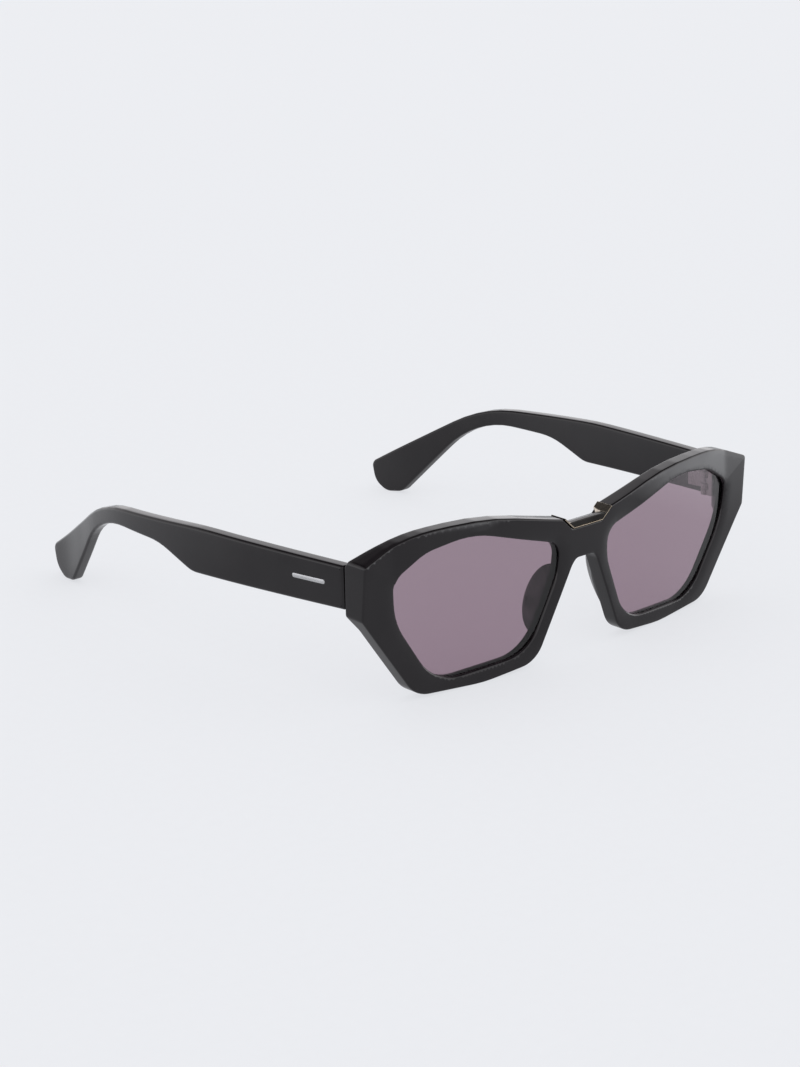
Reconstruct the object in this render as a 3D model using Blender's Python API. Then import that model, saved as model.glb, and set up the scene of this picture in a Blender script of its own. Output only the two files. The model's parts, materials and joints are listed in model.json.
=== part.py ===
"""Cat eye sunglasses: a faceted acetate front with two tinted lenses, a metal saddle over the bridge, two glued nose pads, and two acetate temples on five-barrel hinges.

Lengths are in millimetres below and become metres in mm(). X runs across the face, -Y is the side that looks forward, Z is up. The glasses stand open on a flat surface at Z = 0, on the undersides of the rims and on the two temple tips. Left and right are the wearer's: left is +X.
"""

import math

import bmesh
import bpy
from mathutils import Matrix, Vector

# ---------------------------------------------------------------- driving dimensions (mm)
WRAP_2, WRAP_4 = 1.972e-3, -1.234e-7  # how the front sweeps back across the face: y = a x^2 + b x^4
FRONT_TILT = math.radians(2.68)  # the top of the front leans forward
FRONT_THICK = 4.7
LENS_THICK = 2.0
LENS_SET = 1.3  # front of the lens behind the front of the rim
GROOVE_DEEP = 0.75
LENS_IN_GROOVE = 0.60
GAP = 0.15
ORIGIN = (0.0, -72.378, 0.248)  # where the middle of the bridge's foot ends up

# Half of the front's outline, wearer's left, going round from the bottom of the trim notch: x, z, fillet radius
OUTLINE = [
    (5.3, 35.3, 0.6),
    (8.9, 38.5, 0.5),
    (34.0, 43.9, 100.0),
    (56.5, 43.5, 60.0),
    (70.6, 38.2, 1.2),
    (70.9, 24.2, 1.6),
    (54.0, 0.7, 8.5),
    (33.0, -0.4, 40.0),
    (15.8, 1.2, 8.0),
    (4.6, 25.2, 5.0),
]
ARCH_TOP = 26.8

# The lens opening, wearer's left: x, z, fillet radius
OPENING = [
    (61.8, 32.9, 5.0),
    (52.5, 38.4, 14.0),
    (38.5, 40.6, 40.0),
    (8.9, 31.9, 4.8),
    (9.2, 24.0, 16.0),
    (18.1, 4.3, 12.0),
    (48.1, 2.9, 14.0),
    (60.8, 22.0, 34.0),
]

# Endpiece block behind each outer corner, side view: y, z
ENDPIECE = [(7.0, 41.6), (9.4, 41.6), (12.66, 36.5), (12.12, 24.2), (8.6, 17.0), (7.0, 17.0)]
ENDPIECE_X = (62.0, 70.55)

# Hinge: the screw stands square to the temple, leaning back at the top
HINGE = Vector((63.4, 14.2, 31.0))
TEMPLE_DROP = math.radians(2.6)
BARREL_R = 1.4
BARREL_H = 1.5
BARREL_GAP = 0.2
SCREW_R = 0.62
BORE_R = 0.78

# Temple, in the hinge's frame: side view (back, up, fillet radius) and how it bows outwards (back, outer face x)
TEMPLE_SIDE = [
    (-1.35, 5.6, 0.5),
    (50.0, 6.6, 150.0),
    (94.0, 4.85, 50.0),
    (133.9, -16.7, 2.4),
    (132.7, -22.85, 6.0),
    (128.4, -25.66, 5.0),
    (122.6, -25.06, 4.0),
    (96.5, 0.9, 34.0),
    (66.5, -0.4, 26.0),
    (53.2, -5.85, 9.0),
    (-1.35, -5.6, 0.5),
]
TEMPLE_BOW = [(-6.0, 6.75), (20.0, 9.5), (42.0, 11.3), (64.0, 12.0), (84.0, 11.0), (100.0, 8.0), (114.0, 3.9), (126.0, 0.7), (142.0, -1.6)]
TEMPLE_THICK = 3.6
WIRE_R = 0.75
WIRE_PATH = [(-0.9, -0.8), (30.0, -0.4), (58.0, 0.9), (74.0, 2.9), (86.0, 2.5), (95.0, 0.9), (102.0, -2.8), (112.0, -9.6), (121.0, -15.8)]


def mm(*values):
    return tuple(v * 0.001 for v in values)


# ---------------------------------------------------------------- scene
for old in list(bpy.data.objects):
    bpy.data.objects.remove(old)
parts = bpy.data.collections.new("cat_eye_sunglasses")
cutters = bpy.data.collections.new("cutters")
for group in (parts, cutters):
    bpy.context.scene.collection.children.link(group)
cutters.hide_render = True

# Everything hangs on one empty, which puts the origin under the middle of the glasses
root = bpy.data.objects.new("sunglasses_root", None)
root.empty_display_size = 0.02
root.location = tuple(v * 0.001 for v in ORIGIN)
parts.objects.link(root)


def material(name, colour, metallic=0.0, roughness=0.3, transmission=0.0, coat=0.0):
    mat = bpy.data.materials.new(name)
    mat.use_nodes = True
    shader = mat.node_tree.nodes["Principled BSDF"]
    shader.inputs["Base Color"].default_value = (*colour, 1.0)
    shader.inputs["Metallic"].default_value = metallic
    shader.inputs["Roughness"].default_value = roughness
    shader.inputs["Transmission Weight"].default_value = transmission
    shader.inputs["Coat Weight"].default_value = coat
    mat.diffuse_color = (*colour, 1.0)
    return mat


def add(name, mesh, group, mat=None, parent=None):
    obj = bpy.data.objects.new(name, mesh)
    group.objects.link(obj)
    if mat is not None:
        mesh.materials.append(mat)
    if group is cutters:
        obj.hide_render = True
        obj.display_type = "WIRE"
    obj.parent = parent or root
    return obj


def combine(obj, other, operation):
    mod = obj.modifiers.new(operation.lower(), "BOOLEAN")
    mod.solver = "EXACT"
    mod.operation = operation
    mod.object = other
    return mod


# ---------------------------------------------------------------- shapes
def filleted(corners, step=math.radians(9)):
    """A closed line through corners (x, y, radius) with each corner rounded."""
    out = []
    n = len(corners)
    for i in range(n):
        a, b, c = (Vector(corners[k % n][:2]) for k in (i - 1, i, i + 1))
        u, v = (a - b).normalized(), (c - b).normalized()
        half = u.angle(v) / 2
        reach = min(corners[i][2] / math.tan(half), 0.46 * min((a - b).length, (c - b).length))
        radius = reach * math.tan(half)
        turn = math.pi - 2 * half
        steps = max(1, math.ceil(turn / step))
        centre = b + (u + v).normalized() * (radius / math.sin(half))
        start = b + u * reach - centre
        sign = 1 if u.x * v.y - u.y * v.x < 0 else -1
        for k in range(steps + 1):
            t = sign * turn * k / steps
            out.append(
                (
                    centre.x + start.x * math.cos(t) - start.y * math.sin(t),
                    centre.y + start.x * math.sin(t) + start.y * math.cos(t),
                )
            )
    return out


def offset(line, distance):
    """The closed line moved outwards by the distance; the line runs clockwise or anticlockwise."""
    area = sum(a[0] * b[1] - b[0] * a[1] for a, b in zip(line, line[1:] + line[:1]))
    side = 1 if area > 0 else -1
    out = []
    n = len(line)
    for i in range(n):
        a, b, c = (Vector(line[k % n]) for k in (i - 1, i, i + 1))
        d1, d2 = (b - a).normalized(), (c - b).normalized()
        normal = (Vector((d1.y, -d1.x)) + Vector((d2.y, -d2.x))).normalized()
        cos_half = max(0.5, normal.dot(Vector((d1.y, -d1.x))))
        out.append(tuple(b + normal * (side * distance / cos_half)))
    return out


def prism(name, line, place, low, high, group, mat=None, parent=None):
    """The closed line, set out by place(u, v, depth), as a solid from depth low to high."""
    bm = bmesh.new()
    rings = []
    for depth in (low, high):
        rings.append([bm.verts.new(mm(*place(u, v, depth))) for u, v in line])
    bm.faces.new(rings[0])
    bm.faces.new(rings[1])
    for i in range(len(line)):
        j = (i + 1) % len(line)
        bm.faces.new((rings[0][i], rings[0][j], rings[1][j], rings[1][i]))
    bmesh.ops.recalc_face_normals(bm, faces=bm.faces)
    mesh = bpy.data.meshes.new(name)
    bm.to_mesh(mesh)
    bm.free()
    return add(name, mesh, group, mat, parent)


def wrap(x):
    return WRAP_2 * x * x + WRAP_4 * x**4


def front_band(lo, hi, reach=76.0, steps=38, x0=None, x1=None):
    """Plan view of a band that follows the front's sweep, from lo to hi behind its face."""
    x0, x1 = (-reach if x0 is None else x0), (reach if x1 is None else x1)
    xs = [x0 + (x1 - x0) * i / steps for i in range(steps + 1)]
    return [(x, wrap(x) + lo) for x in xs] + [(x, wrap(x) + hi) for x in reversed(xs)]


def standing(u, v, depth):
    """Plan points raised to a height, leaning forward with the front."""
    return (u, v - depth * math.tan(FRONT_TILT), depth)


def facing(u, v, depth):
    """Front-view points at a depth."""
    return (u, depth, v)


def mirrored(line):
    return [(-x, *rest) for x, *rest in reversed(line)]


def cylinder(name, radius, z0, z1, group, mat=None, parent=None, at=(0.0, 0.0), sides=28):
    bm = bmesh.new()
    bmesh.ops.create_cone(
        bm,
        cap_ends=True,
        segments=sides,
        radius1=radius * 0.001,
        radius2=radius * 0.001,
        depth=(z1 - z0) * 0.001,
        matrix=Matrix.Translation(mm(at[0], at[1], (z0 + z1) / 2)),
    )
    mesh = bpy.data.meshes.new(name)
    bm.to_mesh(mesh)
    bm.free()
    return add(name, mesh, group, mat, parent)


def box(name, low, high, group, mat=None, parent=None):
    bm = bmesh.new()
    bmesh.ops.create_cube(bm, size=1.0)
    for v in bm.verts:
        v.co = Vector(mm(*((low[k] + high[k]) / 2 + v.co[k] * (high[k] - low[k]) for k in range(3))))
    mesh = bpy.data.meshes.new(name)
    bm.to_mesh(mesh)
    bm.free()
    return add(name, mesh, group, mat, parent)


# ---------------------------------------------------------------- materials
ACETATE = (0.012, 0.011, 0.012)
STEEL = (0.55, 0.54, 0.53)


def acetate(name):
    return material(name, ACETATE, roughness=0.12, coat=1.0)


# ---------------------------------------------------------------- front
outline = filleted(
    [(x, z, r) for x, z, r in OUTLINE]
    + [(3.2, ARCH_TOP, 2.0)]
    + [(-3.2, ARCH_TOP, 2.0)]
    + [(-x, z, r) for x, z, r in reversed(OUTLINE)]
)
opening = filleted(OPENING)

frame = prism("front_frame", outline, facing, -6.0, 16.0, parts, acetate("front_acetate"))
slab = prism("cut_front_slab", front_band(0.0, FRONT_THICK), standing, -6.0, 50.0, cutters)
combine(frame, slab, "INTERSECT")


def side_name(side):
    return "left" if side > 0 else "right"


def flip(line, side):
    return line if side > 0 else mirrored(line)


def hinge_frame(name, side):
    """An empty on the screw's axis: its Z runs up the screw and its Y along the temple."""
    empty = bpy.data.objects.new(name, None)
    empty.empty_display_size = 0.01
    parts.objects.link(empty)
    empty.parent = root
    empty.location = mm(side * HINGE.x, HINGE.y, HINGE.z)
    empty.rotation_euler = (-TEMPLE_DROP, 0.0, 0.0)
    return empty


for side in (1, -1):
    tag = side_name(side)
    # endpiece block carries the hinge
    block = prism(
        f"add_endpiece_{tag}",
        ENDPIECE,
        lambda u, v, depth: (side * depth, u, v),
        *ENDPIECE_X,
        cutters,
    )
    combine(block, prism(f"cut_endpiece_outline_{tag}", offset(outline, -0.04), facing, -6.0, 16.0, cutters), "INTERSECT")
    combine(frame, block, "UNION")

for side in (1, -1):
    tag = side_name(side)
    hole = prism(f"cut_opening_{tag}", flip(opening, side), facing, -8.0, 20.0, cutters)
    combine(frame, hole, "DIFFERENCE")
    x0, x1 = (4.0, 68.0) if side > 0 else (-68.0, -4.0)
    groove = prism(
        f"cut_groove_{tag}", flip(offset(opening, GROOVE_DEEP), side), facing, -8.0, 20.0, cutters
    )
    groove_band = prism(
        f"cut_groove_band_{tag}",
        front_band(LENS_SET - GAP, LENS_SET + LENS_THICK + GAP, x0=x0, x1=x1, steps=16),
        standing,
        -6.0,
        50.0,
        cutters,
    )
    combine(groove, groove_band, "INTERSECT")
    combine(frame, groove, "DIFFERENCE")
    lens = prism(
        f"lens_{tag}",
        flip(offset(opening, LENS_IN_GROOVE), side),
        facing,
        -8.0,
        20.0,
        parts,
        material(f"lens_tint_{tag}", (0.30, 0.22, 0.26), roughness=0.05, transmission=0.9),
    )
    lens_band = prism(
        f"cut_lens_band_{tag}",
        front_band(LENS_SET, LENS_SET + LENS_THICK, x0=x0, x1=x1, steps=16),
        standing,
        -6.0,
        50.0,
        cutters,
    )
    combine(lens, lens_band, "INTERSECT")

# ---------------------------------------------------------------- bridge trim: a bar in the notch, its ends turned up the notch's walls
trim_line = [
    (-8.95, 38.55),
    (-5.45, 35.45),
    (5.45, 35.45),
    (8.95, 38.55),
    (8.62, 38.92),
    (6.68, 37.2),
    (-6.68, 37.2),
    (-8.62, 38.92),
]
trim = prism("bridge_trim", trim_line, facing, -6.0, 16.0, parts, material("trim_gunmetal", (0.16, 0.145, 0.13), metallic=1.0, roughness=0.18))
trim_band = prism("cut_trim_band", front_band(-0.35, FRONT_THICK + 0.1, reach=14.0, steps=8), standing, 30.0, 46.0, cutters)
combine(trim, trim_band, "INTERSECT")

# ---------------------------------------------------------------- nose pads, glued behind the rims
PAD_SIZE = (1.8, 4.9, 9.2)
PAD_AT = (11.0, 4.3, 16.6)
for side in (1, -1):
    tag = side_name(side)
    bm = bmesh.new()
    bmesh.ops.create_uvsphere(bm, u_segments=24, v_segments=14, radius=1.0)
    lean = Matrix.Rotation(math.radians(-22.0 * side), 4, "Y") @ Matrix.Rotation(math.radians(-25.0 * side), 4, "Z")
    for v in bm.verts:
        v.co = Vector((v.co.x * PAD_SIZE[0], v.co.y * PAD_SIZE[1], v.co.z * PAD_SIZE[2]))
        v.co = Vector(mm(*(lean @ v.co + Vector((side * PAD_AT[0], PAD_AT[1], PAD_AT[2])))))
    mesh = bpy.data.meshes.new(f"nose_pad_{tag}")
    bm.to_mesh(mesh)
    bm.free()
    pad = add(f"nose_pad_{tag}", mesh, parts, acetate(f"nose_pad_acetate_{tag}"))
    behind = prism(
        f"cut_pad_back_{tag}", front_band(-20.0, FRONT_THICK + GAP, reach=30.0, steps=16), standing, -6.0, 50.0, cutters
    )
    combine(pad, behind, "DIFFERENCE")

# ---------------------------------------------------------------- hinges and temples
PITCH = BARREL_H + BARREL_GAP
HINGE_TOP = 2.5 * BARREL_H + 2 * BARREL_GAP


def barrel(k):
    """Bottom and top of barrel k of five, counted from the top."""
    top = HINGE_TOP - k * PITCH
    return top - BARREL_H, top


def bow(back):
    """Outer face of the temple, by distance back, through the design points of TEMPLE_BOW."""
    pts = TEMPLE_BOW
    for i in range(len(pts) - 1):
        if back <= pts[i + 1][0] or i == len(pts) - 2:
            break
    p0, p1, p2, p3 = (pts[max(0, min(len(pts) - 1, k))] for k in (i - 1, i, i + 1, i + 2))
    h = p2[0] - p1[0]
    t = (back - p1[0]) / h
    m1 = (p2[1] - p0[1]) / max(p2[0] - p0[0], 1e-6) * h
    m2 = (p3[1] - p1[1]) / max(p3[0] - p1[0], 1e-6) * h
    return (
        (2 * t**3 - 3 * t**2 + 1) * p1[1]
        + (t**3 - 2 * t**2 + t) * m1
        + (-2 * t**3 + 3 * t**2) * p2[1]
        + (t**3 - t**2) * m2
    )


temple_line = filleted(TEMPLE_SIDE)


def tube(name, radius, path, side, group, mat=None, parent=None):
    """A round bar along path points (back, up), in the middle of the temple's thickness."""
    curve = bpy.data.curves.new(name, "CURVE")
    curve.dimensions = "3D"
    curve.bevel_depth = radius * 0.001
    curve.bevel_resolution = 2
    curve.use_fill_caps = True
    spline = curve.splines.new("POLY")
    fine = []
    for (b0, h0), (b1, h1) in zip(path, path[1:]):
        for k in range(3):
            fine.append((b0 + (b1 - b0) * k / 3, h0 + (h1 - h0) * k / 3))
    fine.append(path[-1])
    spline.points.add(len(fine) - 1)
    for point, (back, up) in zip(spline.points, fine):
        point.co = (*mm(side * (bow(back) - TEMPLE_THICK / 2), back, up), 1.0)
    holder = bpy.data.objects.new(name + "_curve", curve)
    mesh = bpy.data.meshes.new_from_object(holder)
    bpy.data.objects.remove(holder)
    bm = bmesh.new()
    bm.from_mesh(mesh)
    bmesh.ops.remove_doubles(bm, verts=bm.verts, dist=1e-6)
    bmesh.ops.recalc_face_normals(bm, faces=bm.faces)
    bm.to_mesh(mesh)
    bm.free()
    mesh.name = name
    return add(name, mesh, group, mat, parent)


for side in (1, -1):
    tag = side_name(side)
    axis_front = hinge_frame(f"hinge_axis_front_{tag}", side)
    axis_temple = hinge_frame(f"hinge_axis_{tag}", side)
    steel = lambda name: material(name, STEEL, metallic=1.0, roughness=0.25)

    # front leaf: sunk plate with three barrels, on the back of the endpiece
    leaf_mat = steel(f"front_leaf_steel_{tag}")
    plate_low, plate_high = (-1.1, -3.0, -HINGE_TOP), (2.9, -1.75, HINGE_TOP)

    def across(low, high):
        """A box's two corners on this side."""
        return ((low[0], *low[1:]), (high[0], *high[1:])) if side > 0 else ((-high[0], *low[1:]), (-low[0], *high[1:]))

    leaf = box(f"hinge_front_leaf_{tag}", *across(plate_low, plate_high), parts, leaf_mat, axis_front)
    for k in (0, 2, 4):
        lo, hi = barrel(k)
        combine(leaf, cylinder(f"add_front_barrel_{k}_{tag}", BARREL_R, lo, hi, cutters, parent=axis_front), "UNION")
        combine(
            leaf,
            box(f"add_front_web_{k}_{tag}", *across((-0.95, -2.4, lo), (0.95, -0.6, hi)), cutters, parent=axis_front),
            "UNION",
        )
    # the anchor that holds the leaf in the acetate
    combine(leaf, box(f"add_anchor_{tag}", *across((0.4, -6.2, -1.1), (1.9, -2.5, 1.1)), cutters, parent=axis_front), "UNION")
    combine(leaf, box(f"add_anchor_head_{tag}", *across((-0.1, -6.2, -1.8), (2.4, -5.2, 1.8)), cutters, parent=axis_front), "UNION")
    combine(leaf, cylinder(f"cut_front_bore_{tag}", BORE_R, -HINGE_TOP + 0.9, HINGE_TOP + 1.0, cutters, parent=axis_front), "DIFFERENCE")
    # its pocket in the endpiece
    for pocket_name, low, high in (
        ("plate", (-1.1, -3.0, -HINGE_TOP), (2.9, -0.6, HINGE_TOP)),
        ("anchor", (0.4, -6.2, -1.1), (1.9, -2.0, 1.1)),
        ("anchor_head", (-0.1, -6.2, -1.8), (2.4, -5.2, 1.8)),
    ):
        low = tuple(v - GAP for v in low)
        high = tuple(v + GAP for v in high)
        combine(frame, box(f"cut_leaf_{pocket_name}_{tag}", *across(low, high), cutters, parent=axis_front), "DIFFERENCE")

    # screw: head in a counterbore above the top barrel, shank down to the last barrel
    screw = cylinder(f"hinge_screw_{tag}", SCREW_R, -HINGE_TOP + 1.05, HINGE_TOP + 0.3, parts, steel(f"screw_steel_{tag}"), axis_front, sides=20)
    combine(screw, cylinder(f"add_screw_head_{tag}", 1.15, HINGE_TOP + 0.12, HINGE_TOP + 0.85, cutters, parent=axis_front, sides=24), "UNION")
    combine(screw, box(f"cut_screw_slot_{tag}", (-1.4, -0.16, HINGE_TOP + 0.5), (1.4, 0.16, HINGE_TOP + 1.2), cutters, parent=axis_front), "DIFFERENCE")

    # temple
    temple = prism(
        f"temple_{tag}",
        temple_line,
        lambda u, v, depth: (side * depth, u, v),
        -8.0,
        18.0,
        parts,
        acetate(f"temple_acetate_{tag}"),
        axis_temple,
    )
    backs = [-4.0 + 146.0 * i / 44 for i in range(45)]
    plan = [(side * bow(b), b) for b in backs] + [(side * (bow(b) - TEMPLE_THICK), b) for b in reversed(backs)]
    band = prism(f"cut_temple_band_{tag}", plan, lambda u, v, depth: (u, v, depth), -40.0, 20.0, cutters, parent=axis_temple)
    combine(temple, band, "INTERSECT")
    bore_path = [(-4.0, WIRE_PATH[0][1])] + WIRE_PATH[1:-1] + [(WIRE_PATH[-1][0] + 0.5, WIRE_PATH[-1][1] - 0.4)]
    combine(temple, tube(f"cut_wire_bore_{tag}", WIRE_R + GAP, bore_path, side, cutters, parent=axis_temple), "DIFFERENCE")
    tube(f"core_wire_{tag}", WIRE_R, WIRE_PATH, side, parts, steel(f"core_wire_steel_{tag}"), axis_temple)

    # temple leaf: two barrels, an arm, and a plate sunk into the inner face
    inner = bow(4.0) - TEMPLE_THICK
    leaf_low, leaf_high = (inner - 0.9, 0.9, -3.6), (inner + 0.55, 9.2, 3.6)
    arm_leaf = box(f"hinge_temple_leaf_{tag}", *across(leaf_low, leaf_high), parts, steel(f"temple_leaf_steel_{tag}"), axis_temple)
    for k in (1, 3):
        lo, hi = barrel(k)
        combine(arm_leaf, cylinder(f"add_temple_barrel_{k}_{tag}", BARREL_R, lo, hi, cutters, parent=axis_temple), "UNION")
        combine(
            arm_leaf,
            box(f"add_temple_arm_{k}_{tag}", *across((0.2, -0.75, lo), (inner - 0.3, 1.4, hi)), cutters, parent=axis_temple),
            "UNION",
        )
    combine(arm_leaf, cylinder(f"cut_temple_bore_{tag}", BORE_R, -HINGE_TOP - 1.0, HINGE_TOP + 1.0, cutters, parent=axis_temple), "DIFFERENCE")
    low = (inner - 2.0, -3.0, leaf_low[2] - GAP)
    high = tuple(v + GAP for v in leaf_high)
    combine(temple, box(f"cut_leaf_pocket_{tag}", *across(low, high), cutters, parent=axis_temple), "DIFFERENCE")

bpy.context.view_layer.update()
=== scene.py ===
"""Cat eye sunglasses in polished black acetate: the looks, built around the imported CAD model.

Shapes are worked out in the design's millimetres (X across the face, -Y forward, Z up) and moved into the row frame
by the offset between the design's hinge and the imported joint.
"""

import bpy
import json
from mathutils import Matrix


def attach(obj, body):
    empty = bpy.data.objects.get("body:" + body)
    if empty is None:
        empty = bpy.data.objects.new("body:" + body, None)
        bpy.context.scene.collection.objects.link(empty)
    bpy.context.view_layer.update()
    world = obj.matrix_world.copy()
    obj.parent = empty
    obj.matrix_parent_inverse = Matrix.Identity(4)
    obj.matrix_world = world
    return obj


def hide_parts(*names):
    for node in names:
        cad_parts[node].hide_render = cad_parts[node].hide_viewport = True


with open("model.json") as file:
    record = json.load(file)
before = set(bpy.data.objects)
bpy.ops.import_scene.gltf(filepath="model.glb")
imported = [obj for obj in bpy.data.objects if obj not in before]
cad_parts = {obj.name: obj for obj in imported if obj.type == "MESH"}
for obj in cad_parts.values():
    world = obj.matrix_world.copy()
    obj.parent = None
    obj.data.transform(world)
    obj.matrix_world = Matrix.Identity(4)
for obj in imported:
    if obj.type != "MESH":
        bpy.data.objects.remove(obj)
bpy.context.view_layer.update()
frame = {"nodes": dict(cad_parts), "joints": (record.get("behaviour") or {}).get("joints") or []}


import json
import math

import bmesh
import bpy
import numpy as np
from mathutils import Matrix, Vector, geometry, noise

# ---------------------------------------------------------------- the design's dimensions (mm)
WRAP_2, WRAP_4 = 1.972e-3, -1.234e-7
FRONT_TILT = math.radians(2.68)
FRONT_THICK = 4.7
LENS_THICK = 2.0
LENS_SET = 1.3
GROOVE_DEEP = 0.75
GAP = 0.15
OUTLINE = [
    (5.3, 35.3, 0.6),
    (8.9, 38.5, 0.5),
    (34.0, 43.9, 100.0),
    (56.5, 43.5, 60.0),
    (70.6, 38.2, 1.2),
    (70.9, 24.2, 1.6),
    (54.0, 0.7, 8.5),
    (33.0, -0.4, 40.0),
    (15.8, 1.2, 8.0),
    (4.6, 25.2, 5.0),
    (3.2, 26.8, 2.0),
]
OPENING = [
    (61.8, 32.9, 5.0),
    (52.5, 38.4, 14.0),
    (38.5, 40.6, 40.0),
    (8.9, 31.9, 4.8),
    (9.2, 24.0, 16.0),
    (18.1, 4.3, 12.0),
    (48.1, 2.9, 14.0),
    (60.8, 22.0, 34.0),
]
HINGE = Vector((63.4, 14.2, 31.0))
TEMPLE_DROP = math.radians(2.6)
TEMPLE_SIDE = [
    (-1.35, 5.6, 0.5),
    (50.0, 6.6, 150.0),
    (94.0, 4.85, 50.0),
    (133.9, -16.7, 2.4),
    (132.7, -22.85, 6.0),
    (128.4, -25.66, 5.0),
    (122.6, -25.06, 4.0),
    (96.5, 0.9, 34.0),
    (66.5, -0.4, 26.0),
    (53.2, -5.85, 9.0),
    (-1.35, -5.6, 0.5),
]
TEMPLE_BOW = [(-6.0, 6.75), (20.0, 9.5), (42.0, 11.3), (64.0, 12.0), (84.0, 11.0), (100.0, 8.0), (114.0, 3.9), (126.0, 0.7), (142.0, -1.6)]
TEMPLE_THICK = 3.6

joint = {j["name"]: j for j in frame["joints"]}
SHIFT = Vector(joint["left_temple_fold"]["pos_m"]) - HINGE * 0.001
BODY = {1: "temple_arm_left", -1: "temple_arm_right"}


def row(x, y, z):
    """A point of the design, in the row frame's metres."""
    return Vector((x, y, z)) * 0.001 + SHIFT


def tag(side):
    return "left" if side > 0 else "right"


# ---------------------------------------------------------------- lines
def filleted(corners, step=math.radians(6), closed=True):
    out = []
    n = len(corners)
    for i in range(n):
        if not closed and i in (0, n - 1):
            out.append(tuple(corners[i][:2]))
            continue
        a, b, c = (Vector(corners[k % n][:2]) for k in (i - 1, i, i + 1))
        u, v = (a - b).normalized(), (c - b).normalized()
        half = u.angle(v) / 2
        reach = min(corners[i][2] / math.tan(half), 0.46 * min((a - b).length, (c - b).length))
        radius = reach * math.tan(half)
        turn = math.pi - 2 * half
        steps = max(2, math.ceil(turn / step))
        centre = b + (u + v).normalized() * (radius / math.sin(half))
        start = b + u * reach - centre
        sign = 1 if u.x * v.y - u.y * v.x < 0 else -1
        for k in range(steps + 1):
            t = sign * turn * k / steps
            out.append(
                (
                    centre.x + start.x * math.cos(t) - start.y * math.sin(t),
                    centre.y + start.x * math.sin(t) + start.y * math.cos(t),
                )
            )
    return out


def spaced(line, most):
    """The closed line with its long stretches divided."""
    out = []
    for a, b in zip(line, line[1:] + line[:1]):
        length = math.dist(a, b)
        if length < 1e-4:
            continue
        n = max(1, math.ceil(length / most))
        out += [(a[0] + (b[0] - a[0]) * k / n, a[1] + (b[1] - a[1]) * k / n) for k in range(n)]
    return out


def offset(line, distance):
    area = sum(a[0] * b[1] - b[0] * a[1] for a, b in zip(line, line[1:] + line[:1]))
    side = 1 if area > 0 else -1
    out = []
    n = len(line)
    for i in range(n):
        a, b, c = (Vector(line[k % n]) for k in (i - 1, i, i + 1))
        d1, d2 = (b - a).normalized(), (c - b).normalized()
        normal = (Vector((d1.y, -d1.x)) + Vector((d2.y, -d2.x))).normalized()
        cos_half = max(0.5, normal.dot(Vector((d1.y, -d1.x))))
        out.append(tuple(b + normal * (side * distance / cos_half)))
    return out


def mirrored(line):
    return [(-x, *rest) for x, *rest in reversed(line)]


def inside(line, x, y):
    """Which of the points lie inside the closed line."""
    pts = np.array(line)
    nxt = np.roll(pts, -1, axis=0)
    x, y = np.asarray(x)[:, None], np.asarray(y)[:, None]
    up = (pts[:, 1] > y) != (nxt[:, 1] > y)
    with np.errstate(divide="ignore", invalid="ignore"):
        cross = (nxt[:, 0] - pts[:, 0]) * (y - pts[:, 1]) / (nxt[:, 1] - pts[:, 1]) + pts[:, 0]
    return (np.sum(up & (x < cross), axis=1) % 2) == 1


class Distance:
    """How far a point is from a line."""

    def __init__(self, line, closed=True):
        pts = np.array(line, float)
        self.a = pts if closed else pts[:-1]
        self.d = (np.roll(pts, -1, axis=0) if closed else pts[1:]) - self.a
        if not closed:
            self.d = pts[1:] - pts[:-1]
        self.l2 = np.maximum((self.d**2).sum(1), 1e-12)

    def __call__(self, x, y):
        p = np.array((x, y)) - self.a
        t = np.clip((p * self.d).sum(1) / self.l2, 0, 1)
        return float(np.sqrt(((p - self.d * t[:, None]) ** 2).sum(1).min()))


def smooth(x, lo, hi):
    t = min(1.0, max(0.0, (x - lo) / (hi - lo)))
    return t * t * (3 - 2 * t)


# ---------------------------------------------------------------- solids
def finish_mesh(bm, name, mat, sharp=33.0, keep=()):
    bmesh.ops.recalc_face_normals(bm, faces=bm.faces)
    for f in bm.faces:
        f.smooth = True
    limit = math.radians(sharp)
    for e in bm.edges:
        if len(e.link_faces) == 2:
            e.smooth = e.calc_face_angle(0.0) < limit
    for e in keep:
        e.smooth = False
    mesh = bpy.data.meshes.new(name)
    bm.to_mesh(mesh)
    bm.free()
    mesh.materials.append(mat)
    obj = bpy.data.objects.new(name, mesh)
    bpy.context.scene.collection.objects.link(obj)
    return obj


def weighted(obj):
    mod = obj.modifiers.new("weighted_normals", "WEIGHTED_NORMAL")
    mod.keep_sharp = True
    mod.weight = 60
    return obj


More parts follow.
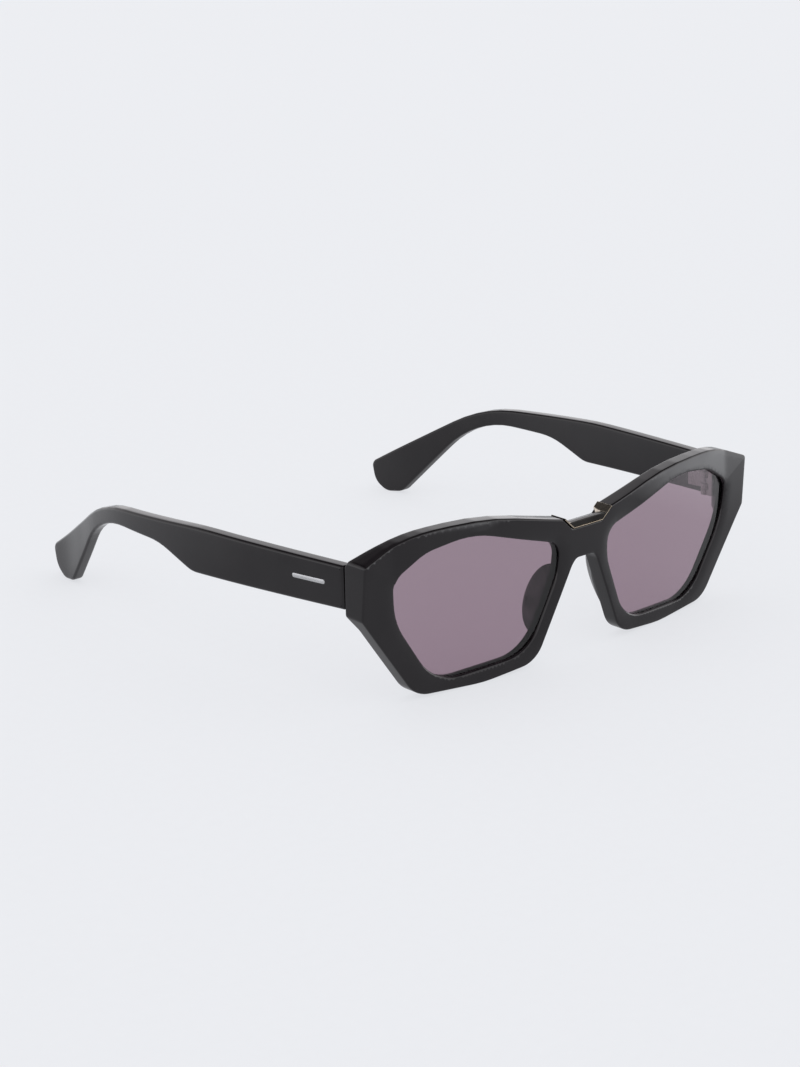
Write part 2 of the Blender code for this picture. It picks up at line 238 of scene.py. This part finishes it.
def fill(bm, rings, depth, place, lattice, creases=()):
    """Triangles between the first ring and the others, with inner points on a lattice. Returns the crease edges."""
    loops = [[p for p, _ in ring] for ring in rings]
    known = [v for ring in rings for _, v in ring]
    coords = [Vector(p) for loop in loops for p in loop]
    edges, base = [], 0
    for loop in loops:
        n = len(loop)
        edges += [(base + i, base + (i + 1) % n) for i in range(n)]
        base += n
    bounds = [Distance(loop) for loop in loops]
    flat = np.array([p for loop in loops for p in loop])
    crease_index = []
    for crease in creases:
        ends = []
        for end in (crease[0], crease[-1]):
            ends.append(int(np.argmin(((flat - np.array(end)) ** 2).sum(1))))
        a, b = Vector(coords[ends[0]]), Vector(coords[ends[1]])
        n = max(2, round((b - a).length / lattice))
        chain = [ends[0]]
        for k in range(1, n):
            coords.append(a.lerp(b, k / n))
            chain.append(len(coords) - 1)
        chain.append(ends[1])
        crease_index.append(chain)
        edges += list(zip(chain, chain[1:]))
    creased = [Distance([coords[i] for i in chain], closed=False) for chain in crease_index]
    lo, hi = flat.min(0), flat.max(0)
    xs, ys = [], []
    j, y = 0, lo[1]
    while y < hi[1]:
        x = lo[0] + (0.5 if j % 2 else 0.0) * lattice
        while x < hi[0]:
            xs.append(x)
            ys.append(y)
            x += lattice
        j, y = j + 1, y + lattice * 0.866
    keep = inside(loops[0], xs, ys)
    for loop in loops[1:]:
        keep &= ~inside(loop, xs, ys)
    for x, y, ok in zip(xs, ys, keep):
        if ok and all(b(x, y) > 0.55 * lattice for b in bounds) and all(c(x, y) > 0.5 * lattice for c in creased):
            coords.append(Vector((x, y)))
    verts, _, faces, origin, _, _ = geometry.delaunay_2d_cdt(coords, edges, [], 0, 1e-6)
    cx = [sum(verts[i].x for i in f) / len(f) for f in faces]
    cy = [sum(verts[i].y for i in f) / len(f) for f in faces]
    keep = inside(loops[0], cx, cy)
    for loop in loops[1:]:
        keep &= ~inside(loop, cx, cy)
    made = {}
    on_crease = {}
    for number, chain in enumerate(crease_index):
        for i in chain:
            on_crease.setdefault(i, set()).add(number)

    def vert(i):
        if i not in made:
            found = [o for o in origin[i] if o < len(known)]
            if found:
                made[i] = known[found[0]]
            else:
                made[i] = bm.verts.new(place(verts[i].x, verts[i].y, depth(verts[i].x, verts[i].y)))
        return made[i]

    sharp = []
    for f, ok in zip(faces, keep):
        if not ok:
            continue
        corners = [vert(i) for i in f]
        if len(set(corners)) < 3:
            continue
        try:
            bm.faces.new(corners)
        except ValueError:
            continue
        for i, k in zip(f, f[1:] + f[:1]):
            shared = [on_crease.get(o, set()) for o in origin[i]], [on_crease.get(o, set()) for o in origin[k]]
            if any(s & t for s in shared[0] for t in shared[1]):
                sharp.append((made[i], made[k]))
    return sharp


def plate(name, mat, outer, holes, front, back, place, r_front, r_back, wall=None, lattice=1.4, creases=(), steps=4, spacing=0.9, rim=2, shade_wall_mat=None):
    """A plate between two surfaces, its edges rounded. front(u, v) and back(u, v) are depths; wall lists (inset, depth) on the holes' walls."""
    bm = bmesh.new()
    outer = spaced(outer, spacing)
    holes = [spaced(h, spacing) for h in holes]
    sense = 1.0 if back(*outer[0]) > front(*outer[0]) else -1.0
    front_rings, back_rings = [], []
    for number, loop in enumerate([outer, *holes]):
        inward = -1.0 if number == 0 else 1.0
        levels = []  # (inset, depth function)
        for k in range(steps + 1):
            t = math.radians(90.0 * (1 - k / steps))
            inset, down = r_front * (1 - math.cos(t)), r_front * (1 - math.sin(t))
            levels.append((inset, lambda u, v, down=down: front(u, v) + sense * down))
        if number and wall:
            levels += wall
        else:
            for k in range(1, rim + 1):
                levels.append(
                    (0.0, lambda u, v, k=k: (front(u, v) + sense * r_front) * (1 - k / (rim + 1)) + (back(u, v) - sense * r_back) * k / (rim + 1))
                )
        for k in range(steps + 1):
            t = math.radians(90.0 * k / steps)
            inset, up = r_back * (1 - math.cos(t)), r_back * (1 - math.sin(t))
            levels.append((inset, lambda u, v, up=up: back(u, v) - sense * up))
        rings, cache = [], {}
        for inset, depth in levels:
            key = round(inset, 6)
            if key not in cache:
                cache[key] = loop if inset == 0 else offset(loop, inward * inset)
            rings.append([(p, bm.verts.new(place(*p, depth(*p)))) for p in cache[key]])
        n = len(loop)
        for level, (a, b) in enumerate(zip(rings, rings[1:])):
            for i in range(n):
                j = (i + 1) % n
                made = bm.faces.new((a[i][1], a[j][1], b[j][1], b[i][1]))
                # painted shade: the holes' walls take the second material, a darker and less reflective acetate
                if number and shade_wall_mat is not None and level >= steps - 1:
                    made.material_index = 1
        front_rings.append(rings[0])
        back_rings.append(rings[-1])
    sharp = fill(bm, front_rings, front, place, lattice, creases)
    fill(bm, back_rings, back, place, lattice)
    keep = [e for e in (bm.edges.get(pair) for pair in sharp) if e]
    obj = finish_mesh(bm, name, mat, sharp=44.0, keep=keep)
    if shade_wall_mat is not None:
        obj.data.materials.append(shade_wall_mat)
    return weighted(obj)


# ---------------------------------------------------------------- materials
def nodes_of(name):
    mat = bpy.data.materials.new(name)
    mat.use_nodes = True
    tree = mat.node_tree
    return mat, tree, tree.nodes["Principled BSDF"]


def coords(tree, scale=(1.0, 1.0, 1.0)):
    where = tree.nodes.new("ShaderNodeTexCoord")
    mapping = tree.nodes.new("ShaderNodeMapping")
    mapping.inputs["Scale"].default_value = scale
    tree.links.new(where.outputs["Object"], mapping.inputs["Vector"])
    return mapping.outputs["Vector"]


def clouds(tree, vector, scale, detail=3.0, rough=0.55):
    node = tree.nodes.new("ShaderNodeTexNoise")
    node.inputs["Scale"].default_value = scale
    node.inputs["Detail"].default_value = detail
    node.inputs["Roughness"].default_value = rough
    tree.links.new(vector, node.inputs["Vector"])
    return node.outputs["Fac"]


def ranged(tree, value, lo, hi, to_lo, to_hi):
    node = tree.nodes.new("ShaderNodeMapRange")
    for key, v in (("From Min", lo), ("From Max", hi), ("To Min", to_lo), ("To Max", to_hi)):
        node.inputs[key].default_value = v
    tree.links.new(value, node.inputs["Value"])
    return node.outputs["Result"]


def ramp(tree, value, stops):
    node = tree.nodes.new("ShaderNodeValToRGB")
    points = node.color_ramp.elements
    while len(points) < len(stops):
        points.new(0.5)
    for point, (at, colour) in zip(points, stops):
        point.position = at
        point.color = (*colour, 1.0)
    tree.links.new(value, node.inputs["Fac"])
    return node.outputs["Color"]


def bump(tree, height, strength, distance, after=None):
    node = tree.nodes.new("ShaderNodeBump")
    node.inputs["Strength"].default_value = strength
    node.inputs["Distance"].default_value = distance
    tree.links.new(height, node.inputs["Height"])
    if after is not None:
        tree.links.new(after, node.inputs["Normal"])
    return node.outputs["Normal"]


def added(tree, a, b, operation="ADD"):
    node = tree.nodes.new("ShaderNodeMath")
    node.operation = operation
    tree.links.new(a, node.inputs[0])
    if isinstance(b, float):
        node.inputs[1].default_value = b
    else:
        tree.links.new(b, node.inputs[1])
    return node.outputs[0]


def acetate(name, deep=(0.0062, 0.0045, 0.0058), pale=(0.0088, 0.0070, 0.0082), low=0.035, high=0.09, shine=0.5):
    """Tumbled and polished black acetate: a slow waviness, hairline scratches and a faint haze of handling."""
    mat, tree, shader = nodes_of(name)
    at = coords(tree)
    shader.inputs["IOR"].default_value = 1.49
    shader.inputs["Specular IOR Level"].default_value = shine
    haze = clouds(tree, at, 95.0, 5.0, 0.6)
    tree.links.new(ramp(tree, haze, [(0.35, deep), (0.68, pale)]), shader.inputs["Base Color"])
    along = clouds(tree, coords(tree, (1.0, 0.06, 1.0)), 2600.0, 2.0, 0.7)
    across = clouds(tree, coords(tree, (0.07, 1.0, 0.9)), 2200.0, 2.0, 0.7)
    lines = added(tree, ranged(tree, along, 0.62, 0.72, 0.0, 0.05), ranged(tree, across, 0.64, 0.74, 0.0, 0.04))
    polish = added(tree, ranged(tree, haze, 0.3, 0.75, low, high), lines)
    tree.links.new(polish, shader.inputs["Roughness"])
    wave = bump(tree, clouds(tree, at, 130.0, 1.0, 0.4), 0.05, 0.0004)
    tree.links.new(bump(tree, lines, 0.06, 0.00003, wave), shader.inputs["Normal"])
    return mat


def tinted(name):
    """Smoked violet sun lens: tint in the mass, a little lighter towards the top, faint specks of dust."""
    mat, tree, shader = nodes_of(name)
    shader.inputs["Transmission Weight"].default_value = 1.0
    shader.inputs["IOR"].default_value = 1.5
    at = coords(tree)
    split = tree.nodes.new("ShaderNodeSeparateXYZ")
    where = tree.nodes.new("ShaderNodeTexCoord")
    tree.links.new(where.outputs["Object"], split.inputs["Vector"])
    rise = ranged(tree, split.outputs["Z"], 0.003, 0.040, 0.0, 1.0)
    cloud = clouds(tree, at, 60.0, 2.0, 0.5)
    mixed = added(tree, rise, ranged(tree, cloud, 0.3, 0.7, -0.06, 0.06))
    tint = ramp(tree, mixed, [(0.0, (0.335, 0.240, 0.292)), (1.0, (0.345, 0.255, 0.304))])
    tree.links.new(tint, shader.inputs["Base Color"])
    dust = clouds(tree, at, 900.0, 2.0, 0.6)
    tree.links.new(ranged(tree, dust, 0.66, 0.80, 0.0, 0.05), shader.inputs["Roughness"])
    return mat


def metal(name, deep, pale, low, high, grain=(1.0, 1.0, 1.0), scale=900.0):
    mat, tree, shader = nodes_of(name)
    shader.inputs["Metallic"].default_value = 1.0
    at = coords(tree, grain)
    brushed = clouds(tree, at, scale, 3.0, 0.65)
    soft = clouds(tree, coords(tree), 220.0, 3.0, 0.5)
    tree.links.new(ramp(tree, soft, [(0.3, deep), (0.7, pale)]), shader.inputs["Base Color"])
    tree.links.new(ranged(tree, brushed, 0.3, 0.7, low, high), shader.inputs["Roughness"])
    tree.links.new(bump(tree, brushed, 0.08, 0.00003), shader.inputs["Normal"])
    return mat


black = acetate("black_acetate")
black_temple = acetate("black_acetate_temple", low=0.045, high=0.11)
pad_black = acetate("black_acetate_pads", low=0.09, high=0.2)
# painted shade: a darker, less reflective copy of the acetate for the lens openings' walls, standing in for the
# shade and dark reflections there
painted_shade_wall_black = acetate("black_acetate_painted_shade_wall", (0.0008, 0.0005, 0.0007), (0.0016, 0.0011, 0.0014), 0.16, 0.3, 0.16)
tint = tinted("violet_smoke_lens")
gunmetal = metal("gunmetal_plate", (0.030, 0.028, 0.027), (0.050, 0.046, 0.043), 0.10, 0.20)
bronze = metal("bronze_edge", (0.40, 0.33, 0.24), (0.52, 0.44, 0.34), 0.22, 0.34)
# painted highlight: a bright bronze standing in for the reflection on the trim wings' up- and inward-facing facets
painted_highlight_bronze = metal("bronze_wing_painted_highlight", (0.42, 0.37, 0.31), (0.56, 0.50, 0.43), 0.10, 0.20)
steel = metal("satin_steel", (0.50, 0.49, 0.48), (0.60, 0.58, 0.56), 0.24, 0.38, (1.0, 1.0, 0.12), 1500.0)
silver = metal("silver_inlay", (0.62, 0.62, 0.63), (0.74, 0.74, 0.75), 0.22, 0.34, (0.15, 1.0, 1.0), 1500.0)

# ---------------------------------------------------------------- front
TILT = math.tan(FRONT_TILT)


def wrap(x):
    return WRAP_2 * x * x + WRAP_4 * x**4


opening = spaced(filleted(OPENING), 0.6)
outline = filleted([(x, z, r) for x, z, r in OUTLINE] + [(-x, z, r) for x, z, r in reversed(OUTLINE)])
to_opening = Distance(opening)
CORNER_IN, CORNER_OUT = (61.2, 32.7), (70.35, 37.95)
upper = sorted(p for p in opening if p[1] > 31.0 and p[0] > 11.0)
upper = [p for p in upper if p[0] < CORNER_IN[0]] + [CORNER_IN, CORNER_OUT]
to_upper = Distance(upper, closed=False)
upper_x, upper_z = [p[0] for p in upper], [p[1] for p in upper]
ROLL_WIDE, ROLL_SLOPE = 3.6, 0.33
FACET = math.tan(math.radians(10.5))


def relief(x, z):
    """How far the polished face falls back from the bent sheet: a roll down to the lens and an upper facet."""
    x = abs(x)
    d = to_opening(x, z)
    near = max(0.0, 1 - d / ROLL_WIDE)
    outside = smooth(x, 66.0, 58.0)
    above = z - np.interp(x, upper_x, upper_z)
    over = smooth(x, 10.0, 24.0) * smooth(above, -1.5, 0.0)
    back = 0.5 * ROLL_SLOPE * ROLL_WIDE * near * near * outside * (1 - over)
    if x > 10.0 and above > 0:
        back += FACET * to_upper(x, z) * smooth(x, 9.0, 36.0)
    return back


def face(x, z):
    return wrap(x) - z * TILT + relief(x, z)


def rear(x, z):
    """The back: the sheet's thickness, growing into the endpieces behind the outer corners."""
    x = abs(x)
    base = wrap(x) - z * TILT + FRONT_THICK
    if x < 48.0 or z < 15.0:
        return base
    if z > 36.5:
        depth = 12.60 - (z - 36.5) * 0.60
    elif z > 24.2:
        depth = 12.06 + (z - 24.2) * 0.0439
    else:
        depth = 12.06 - (24.2 - z) * 0.489
    high = smooth(z, 34.5, 38.5)
    start, reach = 61.6 + (50.0 - 61.6) * high, 1.9 + (17.0 - 1.9) * high
    return base + smooth(x, start, start + reach) * max(0.0, depth - base)


def facing(u, v, depth):
    return row(u, depth, v)


def lip(x, z):
    return wrap(x) - z * TILT + LENS_SET - GAP


def lip_back(x, z):
    return wrap(x) - z * TILT + LENS_SET + LENS_THICK + GAP


front = plate(
    "front_frame_polished",
    black,
    outline,
    [opening, mirrored(opening)],
    face,
    rear,
    facing,
    0.48,
    0.5,
    shade_wall_mat=painted_shade_wall_black,
    wall=[(0.0, lip), (GROOVE_DEEP, lip), (GROOVE_DEEP, lip_back), (0.0, lip_back)],
    lattice=1.15,
    spacing=0.8,
    creases=[(CORNER_IN, CORNER_OUT), ((-CORNER_IN[0], CORNER_IN[1]), (-CORNER_OUT[0], CORNER_OUT[1]))],
)
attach(front, "front")
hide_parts("front_frame")

# ---------------------------------------------------------------- lenses
for side in (1, -1):
    line = offset(opening, GROOVE_DEEP + 0.03)

    def dome(x, z):
        dx, dz = (abs(x) - 35.0) / 27.0, (z - 21.0) / 19.0
        return 0.75 * max(0.0, 1 - 0.85 * (dx * dx + dz * dz))

    lens = plate(
        f"sun_lens_{tag(side)}",
        tint,
        line if side > 0 else mirrored(line),
        [],
        lambda x, z: wrap(x) - z * TILT + LENS_SET - dome(x, z),
        lambda x, z: wrap(x) - z * TILT + LENS_SET + LENS_THICK - dome(x, z),
        facing,
        0.08,
        0.08,
        lattice=1.3,
        steps=2,
    )
    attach(lens, "front")
    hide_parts(f"lens_{tag(side)}")

# ---------------------------------------------------------------- temples


def bow(back):
    pts = TEMPLE_BOW
    for i in range(len(pts) - 1):
        if back <= pts[i + 1][0] or i == len(pts) - 2:
            break
    p0, p1, p2, p3 = (pts[max(0, min(len(pts) - 1, k))] for k in (i - 1, i, i + 1, i + 2))
    h = p2[0] - p1[0]
    t = (back - p1[0]) / h
    m1 = (p2[1] - p0[1]) / max(p2[0] - p0[0], 1e-6) * h
    m2 = (p3[1] - p1[1]) / max(p3[0] - p1[0], 1e-6) * h
    return (2 * t**3 - 3 * t**2 + 1) * p1[1] + (t**3 - 2 * t**2 + t) * m1 + (-2 * t**3 + 3 * t**2) * p2[1] + (t**3 - t**2) * m2


def at_hinge(side, x, back, up):
    """A point of the hinge's own frame: x outwards, back along the temple, up the screw."""
    c, s = math.cos(TEMPLE_DROP), math.sin(TEMPLE_DROP)
    return row(side * (HINGE.x + x), HINGE.y + back * c + up * s, HINGE.z - back * s + up * c)


temple_line = filleted(TEMPLE_SIDE)
temple_edge = Distance(temple_line)
for side in (1, -1):

    def outer(back, up):
        return bow(back)

    def inner(back, up):
        return bow(back) - TEMPLE_THICK

    temple = plate(
        f"temple_{tag(side)}_polished",
        black_temple,
        temple_line,
        [],
        outer,
        inner,
        lambda u, v, depth: at_hinge(side, depth, u, v),
        0.8,
        0.7,
        lattice=1.7,
        spacing=1.1,
    )
    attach(temple, BODY[side])
    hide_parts(f"temple_{tag(side)}")

    # a plain silver dash let into the outer face, where such frames carry a mark
    dash = [(4.8, 1.05, 0.5), (15.6, 1.05, 0.5), (15.6, -0.05, 0.5), (4.8, -0.05, 0.5)]
    inlay = plate(
        f"temple_inlay_{tag(side)}",
        silver,
        filleted(dash),
        [],
        lambda u, v: bow(u) + 0.03,
        lambda u, v: bow(u) - 0.35,
        lambda u, v, depth: at_hinge(side, depth, u, v),
        0.03,
        0.03,
        lattice=0.5,
        steps=2,
        spacing=0.4,
    )
    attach(inlay, BODY[side])

# ---------------------------------------------------------------- bridge trim
saddle_line = [
    (-8.80, 38.42),
    (-5.45, 35.45),
    (5.45, 35.45),
    (8.80, 38.42),
    (8.52, 38.73),
    (6.75, 37.18),
    (-6.75, 37.18),
    (-8.52, 38.73),
]


def curve_in(x):
    """The bar's front runs a little behind the bridge's face in the middle."""
    return -0.30 + 0.20 * max(0.0, 1 - (x / 6.0) ** 2)


saddle = plate(
    "bridge_trim_saddle",
    gunmetal,
    filleted([(x, z, 0.2) for x, z in saddle_line]),
    [],
    lambda x, z: wrap(x) - z * TILT + curve_in(x),
    lambda x, z: wrap(x) - z * TILT + FRONT_THICK + 0.05 - 3.3 * min(1.0, max(0.0, (z - 35.9) / 1.2)) * smooth(abs(x), 7.2, 6.2),
    facing,
    0.16,
    0.16,
    lattice=0.5,
    spacing=0.35,
    steps=4,
)
saddle.data.materials.append(painted_highlight_bronze)
# painted highlight: wing faces turned up and inward take the bright bronze
for face_ in saddle.data.polygons:
    away = math.copysign(1.0, face_.center.x)
    if abs(face_.center.x) > 0.0063 and face_.normal.x * -away + face_.normal.z > 0.9:
        face_.material_index = 1
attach(saddle, "front")
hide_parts("bridge_trim")

lip_line = [
    (-8.75, 38.42),
    (-5.38, 35.44),
    (5.38, 35.44),
    (8.75, 38.42),
    (8.62, 38.57),
    (5.30, 35.64),
    (-5.30, 35.64),
    (-8.62, 38.57),
]
edge = plate(
    "bridge_trim_edge",
    bronze,
    filleted([(x, z, 0.12) for x, z in lip_line]),
    [],
    lambda x, z: wrap(x) - z * TILT - 0.36,
    lambda x, z: wrap(x) - z * TILT + 0.6,
    facing,
    0.05,
    0.03,
    lattice=0.3,
    spacing=0.3,
    steps=2,
)
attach(edge, "front")

# ---------------------------------------------------------------- nose pads
PAD_SIZE, PAD_AT = (1.8, 4.9, 9.2), (11.0, 4.3, 16.6)
for side in (1, -1):
    bm = bmesh.new()
    bmesh.ops.create_icosphere(bm, subdivisions=5, radius=1.0)
    lean = Matrix.Rotation(math.radians(-22.0), 4, "Y") @ Matrix.Rotation(math.radians(-25.0), 4, "Z")
    for v in bm.verts:
        p = v.co.copy()
        p = Vector((math.copysign(abs(p.x) ** 0.9, p.x) * PAD_SIZE[0], p.y * PAD_SIZE[1], p.z * PAD_SIZE[2]))
        p = lean @ p + Vector(PAD_AT)
        plane = wrap(p.x) - p.z * TILT + FRONT_THICK
        above = p.y - plane
        if above < 1.6:
            # flare into the back of the rim, as a pad pressed on and polished in
            flare = 1 + 0.12 * (1 - smooth(above, -0.6, 1.6))
            mid = Vector((PAD_AT[0] + (p.z - PAD_AT[2]) * -0.40, 0, PAD_AT[2]))
            p.x = mid.x + (p.x - mid.x) * flare
            p.z = mid.z + (p.z - mid.z) * (1 + (flare - 1) * 0.35)
        # its inner side carries on from the rim's nose-side wall and flares away from it
        p.x = max(p.x, 15.8 - (p.z - 1.2) * 11.2 / 24.0 + 0.12 + 0.3 * max(0.0, above))
        p.y = max(p.y, plane - 0.45)
        v.co = row(side * p.x, p.y, p.z)
    pad = finish_mesh(bm, f"nose_pad_{tag(side)}_polished", pad_black, sharp=75.0)
    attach(pad, "front")
    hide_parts(f"nose_pad_{tag(side)}")

# ---------------------------------------------------------------- carried-over metal
for name, node in frame["nodes"].items():
    if name.startswith(("hinge_", "core_wire")):
        node.data.materials.clear()
        node.data.materials.append(steel)
        if name.startswith("hinge_"):
            soft = node.modifiers.new("soft_edges", "BEVEL")
            soft.width = 0.00009
            soft.segments = 2
            soft.limit_method = "ANGLE"
            soft.angle_limit = math.radians(40)

# ---------------------------------------------------------------- floor, light and camera
floor_mesh = bpy.data.meshes.new("studio_floor")
bm = bmesh.new()
bmesh.ops.create_grid(bm, x_segments=8, y_segments=8, size=9.0)
bm.to_mesh(floor_mesh)
bm.free()
floor = bpy.data.objects.new("studio_floor", floor_mesh)
bpy.context.scene.collection.objects.link(floor)
floor.location.z = -0.00002
paper, tree, shader = nodes_of("pale_paper")
fibre = clouds(tree, coords(tree), 350.0, 3.0, 0.5)
tree.links.new(ramp(tree, fibre, [(0.3, (0.166, 0.169, 0.175)), (0.7, (0.172, 0.175, 0.181))]), shader.inputs["Base Color"])
shader.inputs["Roughness"].default_value = 0.9
shader.inputs["Specular IOR Level"].default_value = 0.1
shader.inputs["Emission Color"].default_value = (0.845, 0.855, 0.888, 1.0)
# painted reflection: only glossy rays see the paper's glow change, dimmer near the frame and brighter to the far
# right and behind it; every other ray sees it evenly bright
spot = tree.nodes.new("ShaderNodeTexCoord")
lie = tree.nodes.new("ShaderNodeSeparateXYZ")
tree.links.new(spot.outputs["Object"], lie.inputs["Vector"])
across_floor = added(tree, lie.outputs["X"], added(tree, lie.outputs["Y"], 0.15, "MULTIPLY"))
ray = tree.nodes.new("ShaderNodeLightPath")
mirror_ray = added(tree, ray.outputs["Is Glossy Ray"], ray.outputs["Is Transmission Ray"], "SUBTRACT")
behind = added(tree, ranged(tree, lie.outputs["Y"], 0.03, 0.2, 0.0, 0.7), ranged(tree, lie.outputs["X"], 0.05, 0.25, 1.0, 0.0), "MULTIPLY")
painted_glow_right = added(tree, ranged(tree, across_floor, 0.10, 0.28, 0.0, 2.0), ranged(tree, lie.outputs["Y"], -0.04, 0.06, 1.0, 0.0), "MULTIPLY")
painted_reflection_glow = added(tree, added(tree, painted_glow_right, behind), 0.44)
change = added(tree, ranged(tree, mirror_ray, 0.0, 1.0, 0.0, 1.0), added(tree, painted_reflection_glow, -0.79), "MULTIPLY")
tree.links.new(added(tree, change, 0.79), shader.inputs["Emission Strength"])
floor_mesh.materials.append(paper)

world = bpy.data.worlds.new("studio")
bpy.context.scene.world = world
world.use_nodes = True
tree = world.node_tree
for node in list(tree.nodes):
    tree.nodes.remove(node)
out = tree.nodes.new("ShaderNodeOutputWorld")
even = tree.nodes.new("ShaderNodeBackground")
even.inputs["Color"].default_value = (0.985, 0.99, 1.0, 1.0)
even.inputs["Strength"].default_value = 0.98
panels = tree.nodes.new("ShaderNodeBackground")
where = tree.nodes.new("ShaderNodeTexCoord")
split = tree.nodes.new("ShaderNodeSeparateXYZ")
tree.links.new(where.outputs["Generated"], split.inputs["Vector"])
BANDS = [(0.0, 1.25), (0.14, 1.25), (0.23, 1.0), (0.37, 0.95), (0.50, 0.6), (0.59, 0.42), (0.67, 0.08), (0.80, 0.03), (0.97, 0.2)]
bands = ramp(tree, split.outputs["Z"], [(at, (v, v * 0.985, v * 1.01)) for at, v in BANDS])
tree.links.new(bands, panels.inputs["Color"])
sideways = added(tree, added(tree, split.outputs["X"], 0.9, "MULTIPLY"), added(tree, split.outputs["Y"], -0.3, "MULTIPLY"))
tree.links.new(ranged(tree, sideways, 0.70, 0.93, 1.0, 1.8), panels.inputs["Strength"])
path = tree.nodes.new("ShaderNodeLightPath")
mix = tree.nodes.new("ShaderNodeMixShader")
mirror_ray = added(tree, path.outputs["Is Glossy Ray"], path.outputs["Is Transmission Ray"], "SUBTRACT")
tree.links.new(ranged(tree, mirror_ray, 0.0, 1.0, 0.0, 1.0), mix.inputs["Fac"])
tree.links.new(even.outputs["Background"], mix.inputs[1])
tree.links.new(panels.outputs["Background"], mix.inputs[2])
tree.links.new(mix.outputs["Shader"], out.inputs["Surface"])

camera = bpy.data.cameras.new("camera")
camera.sensor_fit = "VERTICAL"
camera.sensor_height = 36.0
camera.lens = 82.6617
camera.clip_start, camera.clip_end = 0.01, 60.0
eye = bpy.data.objects.new("camera", camera)
bpy.context.scene.collection.objects.link(eye)
right, up, back = (
    Vector((0.735482, -0.677541, -0.002011)),
    Vector((0.211585, 0.226858, 0.950667)),
    Vector((-0.643659, -0.699624, 0.310208)),
)
pose = Matrix((right, up, back)).transposed().to_4x4()
pose.translation = Vector((-0.439539, -0.480804, 0.227966))
eye.matrix_world = pose
bpy.context.scene.camera = eye
bpy.context.scene.view_settings.view_transform = "Standard"
bpy.context.scene.view_settings.look = "None"
